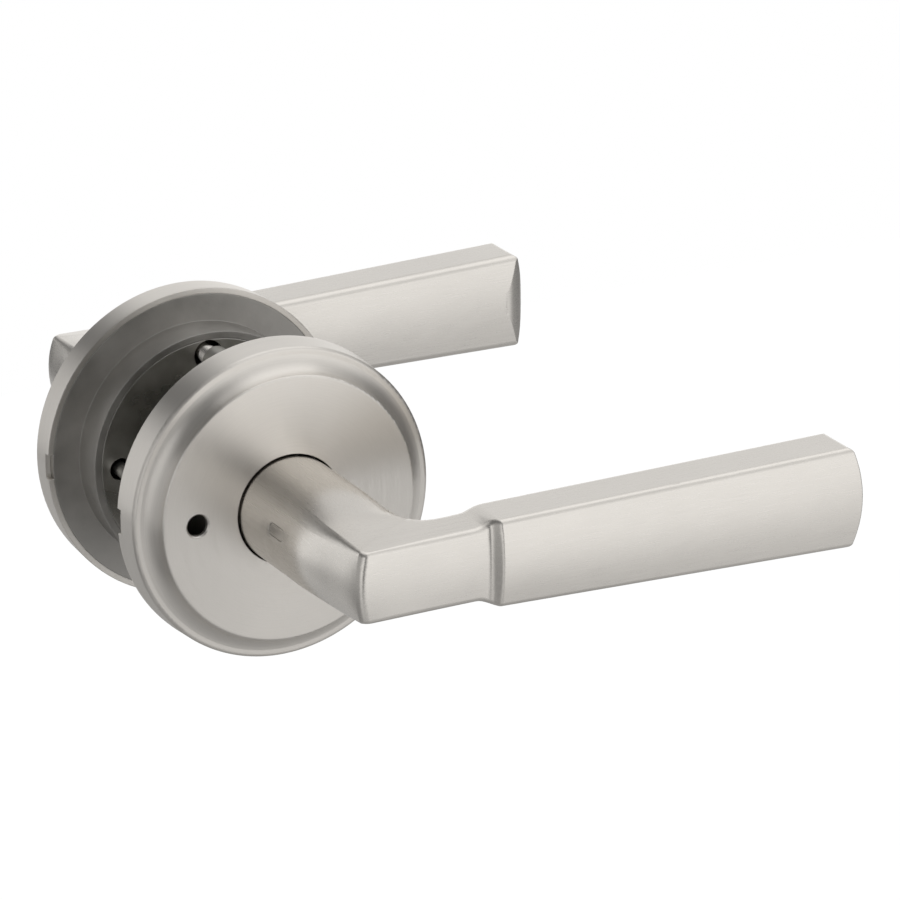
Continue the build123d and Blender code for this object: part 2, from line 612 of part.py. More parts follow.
def mounting_screws():
    """Two machine screws with domed cross-recess heads in the rose's pockets."""
    seat = ROSE_FACE_Z - POCKET_DEPTH
    shoulder, crown = seat + 0.9, seat + SCREW_HEAD_T
    screw = turned(
        Line((0, 0, seat - SCREW_LENGTH), (SCREW_R - 0.6, 0, seat - SCREW_LENGTH)),
        Line((SCREW_R - 0.6, 0, seat - SCREW_LENGTH), (SCREW_R, 0, seat - SCREW_LENGTH + 0.6)),
        Line((SCREW_R, 0, seat - SCREW_LENGTH + 0.6), (SCREW_R, 0, seat)),
        Line((SCREW_R, 0, seat), (SCREW_HEAD_R, 0, seat)),
        Line((SCREW_HEAD_R, 0, seat), (SCREW_HEAD_R, 0, shoulder)),
        ThreePointArc((SCREW_HEAD_R, 0, shoulder), (2.3, 0, crown - 0.28), (0, 0, crown)),
        Line((0, 0, crown), (0, 0, seat - SCREW_LENGTH)),
    )
    wings = Rectangle(4.2, 1.1) + Rectangle(1.1, 4.2)
    screw -= Pos(0, 0, crown + 0.3) * extrude(wings, amount=-1.8, taper=14)
    (x0, y0), (x1, y1) = SCREW_SPOTS
    return Pos(x0, y0, 0) * screw + Pos(x1, y1, 0) * screw


def button_guide():
    """A flanged sleeve that guides the button and holds its spring."""
    low, high = GUIDE_Z
    guide = drum(GUIDE_R, PLATE_Z, high, LOCK_X) + drum(GUIDE_FOOT_R, low, PLATE_Z, LOCK_X)
    guide += drum(GUIDE_FLANGE_R, PLATE_Z, PLATE_Z + 1.2, LOCK_X)
    guide -= drum(BUTTON_R + GUIDE_FIT, GUIDE_STEP_Z - 0.1, high + 1, LOCK_X)
    guide -= drum(GUIDE_WELL_R, GUIDE_FLOOR_Z, GUIDE_STEP_Z, LOCK_X)
    return guide - drum(ROD_R + ROD_FIT, low - 1, GUIDE_FLOOR_Z + 0.1, LOCK_X)


def push_button():
    """The button with a bevelled cap, a stop collar and the rod's socket."""
    top = ROSE_FACE_Z + BUTTON_PROUD
    button = drum(BUTTON_R, COLLAR_Z[0], top, LOCK_X)
    button = chamfer(button.edges().filter_by(GeomType.CIRCLE).sort_by(Axis.Z)[-1], 0.55)
    button += drum(COLLAR_R, *COLLAR_Z, LOCK_X)
    return button - drum(ROD_R + 0.02, COLLAR_Z[0] - 1, ROD_SEAT_Z, LOCK_X)


def button_spring():
    """The coil that pushes the button out."""
    low, high = GUIDE_FLOOR_Z + BUTTON_WIRE_R + 0.02, COLLAR_Z[0] - BUTTON_WIRE_R - 0.02
    coil = Helix((high - low) / BUTTON_TURNS, high - low, BUTTON_COIL_R)
    section = Plane(origin=coil @ 0, z_dir=coil % 0) * Circle(BUTTON_WIRE_R)
    return Pos(LOCK_X, 0, low) * sweep(section, path=coil)


def lock_rod():
    """The rod from the button to the release hole, with the collar that blocks the latch."""
    far_end = -DOOR_THICKNESS - ROD_TIP_Z
    rod = drum(ROD_R, far_end, ROD_SEAT_Z, LOCK_X)
    rims = rod.edges().filter_by(GeomType.CIRCLE).sort_by(Axis.Z)
    rod = chamfer(rims[0], 0.5)
    middle = -DOOR_THICKNESS / 2
    return rod + drum(LOCK_COLLAR_R, middle, middle + LOCK_COLLAR_L, LOCK_X)


HALVES = (
    ("exterior", EXTERIOR, exterior_rose, exterior_liner, EXT_CATCH_Z, EXT_CATCH_ANGLE),
    ("interior", INTERIOR, interior_rose, interior_liner, INT_CATCH_Z, INT_CATCH_ANGLE),
)

nodes = {}
for side, frame, rose, chassis, catch_z, catch_angle in HALVES:
    ports = [(x, y, POST_R + 0.2) for x, y in SCREW_SPOTS] + [(LOCK_X, 0, LOCK_COLLAR_R + 0.3)]
    drive = hub(catch_z, catch_angle)
    if side == "exterior":
        drive -= cross_hole()
    pieces = {
        "rose": rose(),
        "liner": chassis(),
        "bushing": bushing(),
        "hub": drive,
        "cam": cam(),
        "return_spring": return_spring(),
        "spring_cover": spring_cover(ports),
        "retaining_ring": retaining_ring(),
        "lever": lever(catch_z, catch_angle),
        "lever_catch": lever_catch(catch_z, catch_angle),
        "catch_spring": catch_spring(catch_z, catch_angle),
    }
    for name, piece in pieces.items():
        nodes[f"{side}_{name}"] = frame * piece

for name, frame, piece in (
    ("mounting_posts", EXTERIOR, mounting_posts()),
    ("spindle", EXTERIOR, spindle()),
    ("spindle_pin", EXTERIOR, spindle_pin()),
    ("mounting_screws", INTERIOR, mounting_screws()),
    ("button_guide", INTERIOR, button_guide()),
    ("push_button", INTERIOR, push_button()),
    ("button_spring", INTERIOR, button_spring()),
    ("lock_rod", INTERIOR, lock_rod()),
):
    nodes[name] = frame * piece

for name, shape in nodes.items():
    export_step(shape, f"parts/{name}.step")
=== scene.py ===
"""Looks of a privacy lever set in satin nickel, mounted through a door that is not shown."""

import json
import math

import bmesh
import bpy
from mathutils import Matrix, Vector

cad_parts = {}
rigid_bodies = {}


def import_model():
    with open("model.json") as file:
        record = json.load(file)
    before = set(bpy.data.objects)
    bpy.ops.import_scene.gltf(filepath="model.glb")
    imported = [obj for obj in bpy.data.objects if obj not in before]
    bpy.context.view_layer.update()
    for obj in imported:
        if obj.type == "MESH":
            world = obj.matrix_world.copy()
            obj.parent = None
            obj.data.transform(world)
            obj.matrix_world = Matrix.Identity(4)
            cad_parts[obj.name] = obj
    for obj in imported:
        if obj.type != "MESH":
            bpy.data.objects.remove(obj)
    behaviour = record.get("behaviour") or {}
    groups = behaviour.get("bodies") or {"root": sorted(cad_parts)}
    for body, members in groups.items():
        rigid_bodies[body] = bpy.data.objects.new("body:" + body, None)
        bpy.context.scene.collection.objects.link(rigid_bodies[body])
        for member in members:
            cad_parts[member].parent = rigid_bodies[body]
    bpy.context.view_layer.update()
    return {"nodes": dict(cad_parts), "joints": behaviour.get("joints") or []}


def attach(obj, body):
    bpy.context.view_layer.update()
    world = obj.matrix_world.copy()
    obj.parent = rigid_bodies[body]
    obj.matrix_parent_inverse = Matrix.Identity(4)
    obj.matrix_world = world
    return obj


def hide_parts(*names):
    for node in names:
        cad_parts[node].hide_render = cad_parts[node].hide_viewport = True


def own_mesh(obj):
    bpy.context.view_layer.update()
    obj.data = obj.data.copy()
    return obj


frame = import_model()

bl_info = {
    "name": "Privacy Lever Set",
    "version": (1, 0, 0),
    "blender": (4, 5, 0),
    "location": "3D View > Sidebar > Lever Set",
    "description": "Finishes a privacy lever set: spun roses, brushed levers, screws, button and chassis",
    "category": "Object",
}

HALVES = ("exterior", "interior")
SAME_POINT = 1e-6
SHARP_EDGE = math.radians(35.0)
WHITE = (1.0, 1.0, 1.0, 1.0)
# Levels that fall from full to none
FALLING = (1.0, 0.0)


class LeverSetFinish(bpy.types.PropertyGroup):
    """Colours and surface of the metals and plastics."""

    nickel: bpy.props.FloatVectorProperty(
        name="Nickel", description="Colour of the satin nickel plating", subtype="COLOR", size=3,
        default=(0.83, 0.795, 0.745), min=0.0, max=1.0,
    )
    rose_roughness: bpy.props.FloatProperty(
        name="Rose Satin", description="Roughness of the roses' spun nickel",
        subtype="FACTOR", default=0.34, min=0.0, max=1.0,
    )
    rose_stretch: bpy.props.FloatProperty(
        name="Rose Stretch", description="How far the spun rings stretch highlights across them",
        subtype="FACTOR", default=0.85, min=0.0, max=1.0,
    )
    lever_roughness: bpy.props.FloatProperty(
        name="Lever Satin", description="Roughness of the levers' brushed nickel",
        subtype="FACTOR", default=0.3, min=0.0, max=1.0,
    )
    lever_stretch: bpy.props.FloatProperty(
        name="Lever Stretch", description="How far the brushing stretches highlights across its lines",
        subtype="FACTOR", default=0.65, min=0.0, max=1.0,
    )
    rose_crown: bpy.props.FloatProperty(
        name="Rose Crown", description="How far the rose's spun face tips outward at its edge",
        subtype="ANGLE", unit="ROTATION", default=math.radians(3.0), min=0.0, max=math.radians(10.0),
    )
    edge_radius: bpy.props.FloatProperty(
        name="Edge Radius", description="Radius of the eased edges",
        subtype="DISTANCE", unit="LENGTH", default=0.0003, min=0.0, max=0.002,
    )
    zinc: bpy.props.FloatVectorProperty(
        name="Zinc", description="Colour of the bare zinc castings", subtype="COLOR", size=3,
        default=(0.52, 0.505, 0.48), min=0.0, max=1.0,
    )
    plated_steel: bpy.props.FloatVectorProperty(
        name="Plated Steel", description="Colour of the plated steel pieces", subtype="COLOR", size=3,
        default=(0.56, 0.55, 0.52), min=0.0, max=1.0,
    )
    spring_steel: bpy.props.FloatVectorProperty(
        name="Spring Steel", description="Colour of the springs", subtype="COLOR", size=3,
        default=(0.22, 0.22, 0.23), min=0.0, max=1.0,
    )
    nylon: bpy.props.FloatVectorProperty(
        name="Nylon", description="Colour of the bushings and the button's guide", subtype="COLOR",
        size=3, default=(0.018, 0.018, 0.019), min=0.0, max=1.0,
    )


class LeverSetScrews(bpy.types.PropertyGroup):
    """The two machine screws that clamp the halves on the door."""

    head_radius: bpy.props.FloatProperty(
        name="Head Radius", description="Radius of the domed head",
        subtype="DISTANCE", unit="LENGTH", default=0.0036,
    )
    head_height: bpy.props.FloatProperty(
        name="Head Height", description="Height of the head over its seat",
        subtype="DISTANCE", unit="LENGTH", default=0.0021,
    )
    rim_height: bpy.props.FloatProperty(
        name="Rim Height", description="Height of the head's straight rim",
        subtype="DISTANCE", unit="LENGTH", default=0.0009,
    )
    shank_radius: bpy.props.FloatProperty(
        name="Shank Radius", description="Radius over the thread",
        subtype="DISTANCE", unit="LENGTH", default=0.00205,
    )
    length: bpy.props.FloatProperty(
        name="Length", description="Length of the shank under the head",
        subtype="DISTANCE", unit="LENGTH", default=0.034,
    )
    pitch: bpy.props.FloatProperty(
        name="Pitch", description="Distance between the thread's turns",
        subtype="DISTANCE", unit="LENGTH", default=0.0007,
    )
    thread_depth: bpy.props.FloatProperty(
        name="Thread Depth", description="Depth of the thread",
        subtype="DISTANCE", unit="LENGTH", default=0.00038,
    )
    recess_span: bpy.props.FloatProperty(
        name="Recess Span", description="Width of the cross recess over its wings",
        subtype="DISTANCE", unit="LENGTH", default=0.0042,
    )
    recess_width: bpy.props.FloatProperty(
        name="Wing Width", description="Width of each wing of the recess",
        subtype="DISTANCE", unit="LENGTH", default=0.00105,
    )
    recess_depth: bpy.props.FloatProperty(
        name="Recess Depth", description="Depth of the recess under the crown",
        subtype="DISTANCE", unit="LENGTH", default=0.0015,
    )
    spacing: bpy.props.FloatProperty(
        name="Spacing", description="Distance between the two screws",
        subtype="DISTANCE", unit="LENGTH", default=0.0432,
    )
    seat: bpy.props.FloatProperty(
        name="Seat", description="Distance of the heads' seat from the middle of the door",
        subtype="DISTANCE", unit="LENGTH", default=0.02593,
    )


class LeverSetStage(bpy.types.PropertyGroup):
    """Camera, floor and light."""

    lens: bpy.props.FloatProperty(
        name="Lens", description="Focal length on a 36 mm sensor, in millimetres",
        default=213.76, min=20.0, max=600.0,
    )
    azimuth: bpy.props.FloatProperty(
        name="Azimuth", description="How far the camera stands to the latch side",
        subtype="ANGLE", unit="ROTATION", default=math.radians(27.295),
    )
    elevation: bpy.props.FloatProperty(
        name="Elevation", description="How far the camera looks down",
        subtype="ANGLE", unit="ROTATION", default=math.radians(20.112),
    )
    roll: bpy.props.FloatProperty(
        name="Roll", description="Tilt of the camera",
        subtype="ANGLE", unit="ROTATION", default=math.radians(-0.549),
    )
    eye: bpy.props.FloatVectorProperty(
        name="Eye", description="Place of the camera", subtype="XYZ", unit="LENGTH", size=3,
        default=(-0.43548, -0.94300, 0.38319),
    )
    floor_drop: bpy.props.FloatProperty(
        name="Floor", description="Depth of the floor below the spindle",
        subtype="DISTANCE", unit="LENGTH", default=0.25, min=0.05,
    )
    floor_reach: bpy.props.FloatProperty(
        name="Floor Reach", description="Distance from the middle of the floor to its edges",
        subtype="DISTANCE", unit="LENGTH", default=0.72, min=0.3,
    )
    key_light: bpy.props.FloatProperty(
        name="Key Light", description="Power of the overhead softbox in watts", default=2.2, min=0.0,
    )
    panel_glow: bpy.props.FloatProperty(
        name="Panel", description="How bright the tall white panel on the hinge side shows in the metal",
        subtype="FACTOR", default=1.1, min=0.0, max=2.0,
    )
    table_glow: bpy.props.FloatProperty(
        name="Table", description="How bright the floor shows in the metal",
        subtype="FACTOR", default=0.58, min=0.0, max=1.0,
    )
    room_glow: bpy.props.FloatProperty(
        name="Room", description="How bright the rest of the room shows in the metal",
        subtype="FACTOR", default=0.17, min=0.0, max=1.0,
    )
    card_glow: bpy.props.FloatProperty(
        name="Card", description="How bright the card on the latch side shows in the metal",
        subtype="FACTOR", default=0.95, min=0.0, max=1.0,
    )
    # Brightness of a painted pool of light on the floor's glow in the metal
    painted_pool_glow: bpy.props.FloatProperty(
        name="Pool", description="How bright the floor at the panel's foot shows in the metal",
        subtype="FACTOR", default=1.0, min=0.0, max=2.0,
    )
    room_light: bpy.props.FloatProperty(
        name="Room Light", description="Even light of the room on the floor and the plastics",
        subtype="FACTOR", default=0.5, min=0.0, max=1.0,
    )


def finish_settings():
    return bpy.context.scene.lever_set_finish


def screw_settings():
    return bpy.context.scene.lever_set_screws


def stage_settings():
    return bpy.context.scene.lever_set_stage


class Graph:
    """A node tree with short ways to add nodes and links."""

    def __init__(self, tree):
        self.tree = tree

    def add(self, kind, **settings):
        node = self.tree.nodes.new(kind)
        for name, value in settings.items():
            setattr(node, name, value)
        return node

    def put(self, socket, value):
        """Sets a socket to a number or colour, or links it to another socket."""
        if isinstance(value, bpy.types.NodeSocket):
            self.tree.links.new(value, socket)
        else:
            socket.default_value = value

    def math(self, operation, first, second=0.0):
        node = self.add("ShaderNodeMath", operation=operation)
        for socket, value in zip(node.inputs, (first, second)):
            self.put(socket, value)
        return node.outputs[0]

    def vector(self, operation, first, second=None):
        node = self.add("ShaderNodeVectorMath", operation=operation)
        self.put(node.inputs[0], first)
        if second is not None:
            self.put(node.inputs[1], second)
        return node.outputs["Value" if operation == "LENGTH" else "Vector"]

    def split(self, vector):
        node = self.add("ShaderNodeSeparateXYZ")
        self.put(node.inputs[0], vector)
        return node.outputs

    def join(self, x=0.0, y=0.0, z=0.0):
        node = self.add("ShaderNodeCombineXYZ")
        for socket, value in zip(node.inputs, (x, y, z)):
            self.put(socket, value)
        return node.outputs[0]

    def span(self, value, low, high, to_low=0.0, to_high=1.0, kind="LINEAR"):
        """Takes a range of a value to another range."""
        node = self.add("ShaderNodeMapRange", interpolation_type=kind)
        names = ("Value", "From Min", "From Max", "To Min", "To Max")
        for name, number in zip(names, (value, low, high, to_low, to_high)):
            self.put(node.inputs[name], number)
        return node.outputs["Result"]

    def ease(self, value, ends, levels=(0.0, 1.0)):
        """Passes smoothly from one level to another between two ends."""
        return self.span(value, *ends, *levels, kind="SMOOTHSTEP")

    def noise(self, place, scale, detail, roughness=0.5):
        node = self.add("ShaderNodeTexNoise")
        names = ("Vector", "Scale", "Detail", "Roughness")
        for name, value in zip(names, (place, scale, detail, roughness)):
            self.put(node.inputs[name], value)
        return node.outputs[0]

    def tint(self, amount, first, second):
        node = self.add("ShaderNodeMix", data_type="RGBA")
        self.put(node.inputs["Factor"], amount)
        colours = [socket for socket in node.inputs if socket.type == "RGBA"]
        self.put(colours[0], first)
        self.put(colours[1], second)
        return next(socket for socket in node.outputs if socket.type == "RGBA")


def colour(values):
    return (*values, 1.0)


def empty_graph(owner):
    """The cleared node tree of a new material or world."""
    owner.use_nodes = True
    owner.node_tree.nodes.clear()
    return Graph(owner.node_tree)


def placed_object(name, data):
    """A new object in the scene."""
    made = bpy.data.objects.new(name, data)
    bpy.context.scene.collection.objects.link(made)
    return made


def node_group(name, inputs, outputs):
    """A shader node group with named sockets, its inputs and its outputs."""
    tree = bpy.data.node_groups.new(name, "ShaderNodeTree")
    for label, kind, default in inputs:
        socket = tree.interface.new_socket(label, in_out="INPUT", socket_type=kind)
        if default is not None:
            socket.default_value = default
    for label, kind in outputs:
        tree.interface.new_socket(label, in_out="OUTPUT", socket_type=kind)
    graph = Graph(tree)
    source = graph.add("NodeGroupInput")
    target = graph.add("NodeGroupOutput")
    return graph, source.outputs, target.inputs


LINE_DETAIL, LINE_ROUGHNESS, LINE_RANGE = 3.0, 0.65, (0.3, 0.7)
CLOUD_DETAIL, CLOUD_RANGE = 2.0, (0.35, 0.65)
BRUSH_CLOUDS, RING_CLOUDS = 60.0, 55.0
RIM_SPREAD = 0.7  # how far the rings follow the depth of a rim
PEBBLE_DETAIL = 4.0
MOTTLE_DETAIL, MOTTLE_SCALE = 3.0, 0.1


def lines_and_clouds(graph, out, drawn, place, cloud_scale):
    """Puts out fine lines over a drawn-out place, and soft clouds over the plain one."""
    lines = graph.noise(drawn, 1.0, LINE_DETAIL, LINE_ROUGHNESS)
    clouds = graph.noise(place, cloud_scale, CLOUD_DETAIL)
    graph.put(out["Lines"], graph.span(lines, *LINE_RANGE))
    graph.put(out["Clouds"], graph.span(clouds, *CLOUD_RANGE))


def brush_lines_group():
    """Fine lines drawn out along one axis of the piece, as a belt leaves them."""
    name = "Brush Lines"
    if name in bpy.data.node_groups:
        return bpy.data.node_groups[name]
    graph, given, out = node_group(
        name,
        (
            ("Place", "NodeSocketVector", None),
            ("Length", "NodeSocketFloat", 0.03),
            ("Width", "NodeSocketFloat", 0.00015),
        ),
        (("Lines", "NodeSocketFloat"), ("Clouds", "NodeSocketFloat")),
    )
    along = graph.math("DIVIDE", 1.0, given["Length"])
    across = graph.math("DIVIDE", 1.0, given["Width"])
    drawn = graph.vector("MULTIPLY", given["Place"], graph.join(along, across, across))
    lines_and_clouds(graph, out, drawn, given["Place"], BRUSH_CLOUDS)
    return graph.tree


def spun_rings_group():
    """Fine rings around the spindle's axis, as a turned and brushed face has."""
    name = "Spun Rings"
    if name in bpy.data.node_groups:
        return bpy.data.node_groups[name]
    graph, given, out = node_group(
        name,
        (
            ("Place", "NodeSocketVector", None),
            ("Width", "NodeSocketFloat", 0.00016),
            ("Breaks", "NodeSocketFloat", 2.5),
        ),
        (("Lines", "NodeSocketFloat"), ("Clouds", "NodeSocketFloat")),
    )
    x, y, z = graph.split(given["Place"])
    squares = graph.math("ADD", graph.math("MULTIPLY", x, x), graph.math("MULTIPLY", z, z))
    reach = graph.math("ADD", graph.math("SQRT", squares), graph.math("MULTIPLY", y, RIM_SPREAD))
    turn = graph.math("ARCTAN2", z, x)
    drawn = graph.join(
        graph.math("DIVIDE", reach, given["Width"]),
        graph.math("MULTIPLY", graph.math("COSINE", turn), given["Breaks"]),
        graph.math("MULTIPLY", graph.math("SINE", turn), given["Breaks"]),
    )
    lines_and_clouds(graph, out, drawn, given["Place"], RING_CLOUDS)
    return graph.tree


def cast_skin_group():
    """The uneven skin of a casting or a plated piece: soft mottling and a fine pebble."""
    name = "Cast Skin"
    if name in bpy.data.node_groups:
        return bpy.data.node_groups[name]
    graph, given, out = node_group(
        name,
        (("Place", "NodeSocketVector", None), ("Grain", "NodeSocketFloat", 0.0008)),
        (("Pebble", "NodeSocketFloat"), ("Mottle", "NodeSocketFloat")),
    )
    fine = graph.math("DIVIDE", 1.0, given["Grain"])
    coarse = graph.math("DIVIDE", MOTTLE_SCALE, given["Grain"])
    mottle = graph.noise(given["Place"], coarse, MOTTLE_DETAIL)
    graph.put(out["Pebble"], graph.noise(given["Place"], fine, PEBBLE_DETAIL))
    graph.put(out["Mottle"], graph.span(mottle, *CLOUD_RANGE))
    return graph.tree


def new_material(name):
    """An empty node material with its Principled shader and the piece's own coordinates."""
    material = bpy.data.materials.new(name)
    graph = empty_graph(material)
    shader = graph.add("ShaderNodeBsdfPrincipled")
    target = graph.add("ShaderNodeOutputMaterial")
    graph.put(target.inputs["Surface"], shader.outputs["BSDF"])
    place = graph.add("ShaderNodeTexCoord").outputs["Object"]
    return material, graph, shader.inputs, place


def eased_normal(graph):
    """Normals that are eased at the edges."""
    eased = graph.add("ShaderNodeBevel", samples=4)
    eased.inputs["Radius"].default_value = finish_settings().edge_radius
    return eased.outputs["Normal"]


def relief(graph, shader, normal, height, strength, distance):
    """A fine bump over a piece's normals."""
    bump = graph.add("ShaderNodeBump")
    bump.inputs["Strength"].default_value = strength
    bump.inputs["Distance"].default_value = distance
    graph.put(bump.inputs["Height"], height)
    graph.put(bump.inputs["Normal"], normal)
    graph.put(shader["Normal"], bump.outputs["Normal"])


def carried(graph, vector, kind, origin, target):
    """A vector of one space in another."""
    node = graph.add(
        "ShaderNodeVectorTransform", vector_type=kind, convert_from=origin, convert_to=target
    )
    graph.put(node.inputs[0], vector)
    return node.outputs[0]


def to_world(graph, vector):
    return carried(graph, vector, "VECTOR", "OBJECT", "WORLD")


def across_lines(graph, shader, line_direction, stretch):
    """Turns the stretched highlight across the brushing lines."""
    normal = graph.add("ShaderNodeNewGeometry").outputs["Normal"]
    tangent = graph.vector("CROSS_PRODUCT", normal, to_world(graph, line_direction))
    graph.put(shader["Tangent"], tangent)
    shader["Anisotropic"].default_value = stretch


DARK_LINE = 0.92  # the nickel's darkest line against its own colour
LINE_SHARE, CLOUD_SHARE = 0.65, 0.35
SATIN_SPREAD = 0.05  # roughness either way of the mean
LINE_HEIGHT = 0.00002
RING_BUMP, BRUSH_BUMP = 0.25, 0.07
OFF_AXIS = (1.0, 0.0, 1.0)
FACE_RADIUS = 0.028
GRIP_DEPTH = (0.056, 0.066)  # from the door's middle, where the brushing turns from the stem to the grip
END_FACING = (0.5, 0.8)  # how far a surface faces along the grip


def nickel_tone(graph, shader, lines, clouds, rough):
    """Plating colour and roughness that follow the brushing."""
    look = finish_settings()
    light = colour(look.nickel)
    dark = colour([DARK_LINE * value for value in look.nickel])
    of_lines = graph.math("MULTIPLY", lines, LINE_SHARE)
    tone = graph.math("ADD", of_lines, graph.math("MULTIPLY", clouds, CLOUD_SHARE))
    graph.put(shader["Base Color"], graph.tint(tone, dark, light))
    shader["Metallic"].default_value = 1.0
    satin = graph.span(lines, 0.0, 1.0, rough - SATIN_SPREAD, rough + SATIN_SPREAD)
    graph.put(shader["Roughness"], satin)


def spun_nickel():
    """Satin nickel spun in rings, for the roses."""
    material, graph, shader, place = new_material("spun_satin_nickel")
    rings = graph.add("ShaderNodeGroup", node_tree=spun_rings_group())
    graph.put(rings.inputs["Place"], place)
    lines, clouds = rings.outputs["Lines"], rings.outputs["Clouds"]
    look = finish_settings()
    nickel_tone(graph, shader, lines, clouds, look.rose_roughness)
    outward = graph.vector("MULTIPLY", to_world(graph, place), OFF_AXIS)
    crown = graph.vector("SCALE", outward)
    crown.node.inputs["Scale"].default_value = look.rose_crown / FACE_RADIUS
    crowned = graph.vector("NORMALIZE", graph.vector("ADD", eased_normal(graph), crown))
    relief(graph, shader, crowned, lines, RING_BUMP, LINE_HEIGHT)
    x, _, z = graph.split(place)
    around = graph.join(x=z, z=graph.math("MULTIPLY", x, -1.0))
    across_lines(graph, shader, around, look.rose_stretch)
    return material


def brushed_nickel():
    """Satin nickel brushed along the grip and along the stem, for the levers."""
    material, graph, shader, place = new_material("brushed_satin_nickel")
    x, y, z = graph.split(place)
    normal = graph.add("ShaderNodeNewGeometry").outputs["Normal"]
    facing = graph.split(carried(graph, normal, "NORMAL", "WORLD", "OBJECT"))
    off_end = graph.ease(graph.math("ABSOLUTE", facing["X"]), END_FACING, FALLING)
    outside = graph.ease(graph.math("ABSOLUTE", y), GRIP_DEPTH)
    grip = graph.math("MULTIPLY", outside, off_end)
    lines, clouds = [], []
    for where in (graph.join(y, x, z), place):
        brush = graph.add("ShaderNodeGroup", node_tree=brush_lines_group())
        graph.put(brush.inputs["Place"], where)
        lines.append(brush.outputs["Lines"])
        clouds.append(brush.outputs["Clouds"])
    change = graph.math("SUBTRACT", lines[1], lines[0])
    both = graph.math("ADD", lines[0], graph.math("MULTIPLY", grip, change))
    look = finish_settings()
    nickel_tone(graph, shader, both, clouds[1], look.lever_roughness)
    relief(graph, shader, eased_normal(graph), both, BRUSH_BUMP, LINE_HEIGHT)
    direction = graph.join(x=grip, y=graph.math("SUBTRACT", 1.0, grip))
    across_lines(graph, shader, direction, look.lever_stretch)
    return material


DARK_SKIN = 0.8  # the skin's darkest mottle against its own colour
SKIN_SPREAD = 0.06  # roughness either way of the mean
PEBBLE_HEIGHT = 0.00005


def skin_material(name, tint, roughness, grain, bump, metallic=1.0):
    """The skin of that name, made once, for a casting, plated piece or moulding."""
    if name in bpy.data.materials:
        return bpy.data.materials[name]
    material, graph, shader, place = new_material(name)
    skin = graph.add("ShaderNodeGroup", node_tree=cast_skin_group())
    graph.put(skin.inputs["Place"], place)
    skin.inputs["Grain"].default_value = grain
    mottle = skin.outputs["Mottle"]
    light = colour(tint)
    dark = colour([DARK_SKIN * value for value in tint])
    graph.put(shader["Base Color"], graph.tint(mottle, dark, light))
    rough = graph.span(mottle, 0.0, 1.0, roughness - SKIN_SPREAD, roughness + SKIN_SPREAD)
    graph.put(shader["Roughness"], rough)
    shader["Metallic"].default_value = metallic
    relief(graph, shader, eased_normal(graph), skin.outputs["Pebble"], bump, PEBBLE_HEIGHT)
    return material


def bright_nickel():
    tint = finish_settings().nickel
    return skin_material("polished_nickel_trim", tint, roughness=0.22, grain=0.0006, bump=0.06)


def zinc():
    tint = finish_settings().zinc
    return skin_material("bare_zinc_skin", tint, roughness=0.48, grain=0.0009, bump=0.5)


def plated():
    tint = finish_settings().plated_steel
    return skin_material("bright_zinc_plate", tint, roughness=0.3, grain=0.0007, bump=0.12)


def spring_wire():
    tint = finish_settings().spring_steel
    return skin_material("drawn_spring_wire", tint, roughness=0.34, grain=0.0005, bump=0.1)


def nylon():
    tint = finish_settings().nylon
    return skin_material("black_nylon_moulding", tint, roughness=0.45, grain=0.0006, bump=0.2, metallic=0.0)


def finished(node, material):
    """Gives a carried-over piece its finish."""
    mesh = frame["nodes"][node].data
    mesh.materials.clear()
    mesh.materials.append(material)


class LEVERSET_OT_roses(bpy.types.Operator):
    """Finish the two spun roses"""

    bl_idname = "leverset.roses"
    bl_label = "Roses"

    def execute(self, context):
        material = spun_nickel()
        for half in HALVES:
            finished(f"{half}_rose", material)
        return {"FINISHED"}


class LEVERSET_OT_levers(bpy.types.Operator):
    """Finish the two brushed levers and their catches"""

    bl_idname = "leverset.levers"
    bl_label = "Levers"

    def execute(self, context):
        material = brushed_nickel()
        for half in HALVES:
            finished(f"{half}_lever", material)
            finished(f"{half}_lever_catch", material)
        return {"FINISHED"}


class LEVERSET_OT_button(bpy.types.Operator):
    """Finish the push button, its guide and the lock rod"""

    bl_idname = "leverset.button"
    bl_label = "Push Button"

    def execute(self, context):
        finished("push_button", bright_nickel())
        finished("button_guide", nylon())
        finished("lock_rod", plated())
        return {"FINISHED"}


class LEVERSET_OT_chassis(bpy.types.Operator):
    """Finish the chassis plates, covers and bushings"""

    bl_idname = "leverset.chassis"
    bl_label = "Chassis"

    def execute(self, context):
        for half in HALVES:
            finished(f"{half}_liner", zinc())
            finished(f"{half}_spring_cover", plated())
            finished(f"{half}_bushing", nylon())
        return {"FINISHED"}


class LEVERSET_OT_drive(bpy.types.Operator):
    """Finish the hubs, cams, clips and the spindle"""

    bl_idname = "leverset.drive"
    bl_label = "Drive"

    def execute(self, context):
        for half in HALVES:
            for piece in ("hub", "cam", "retaining_ring"):
                finished(f"{half}_{piece}", plated())
        finished("spindle", plated())
        finished("spindle_pin", plated())
        return {"FINISHED"}


def pressed_spring(name, node, joint_name):
    """A welded, smoothly shaded copy of a spring, put on the parent body of the joint that presses it."""
    joint = next(row for row in frame["joints"] if row["name"] == joint_name)
    shape = bmesh.new()
    shape.from_mesh(frame["nodes"][node].data)
    bmesh.ops.remove_doubles(shape, verts=shape.verts, dist=SAME_POINT)
    mesh = bpy.data.meshes.new(name)
    shape.to_mesh(mesh)
    shape.free()
    mesh.shade_smooth()
    mesh.set_sharp_from_angle(angle=SHARP_EDGE)
    mesh.materials.append(spring_wire())
    spring = placed_object(name, mesh)
    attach(spring, joint["parent"])
    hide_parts(node)
    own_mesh(spring)


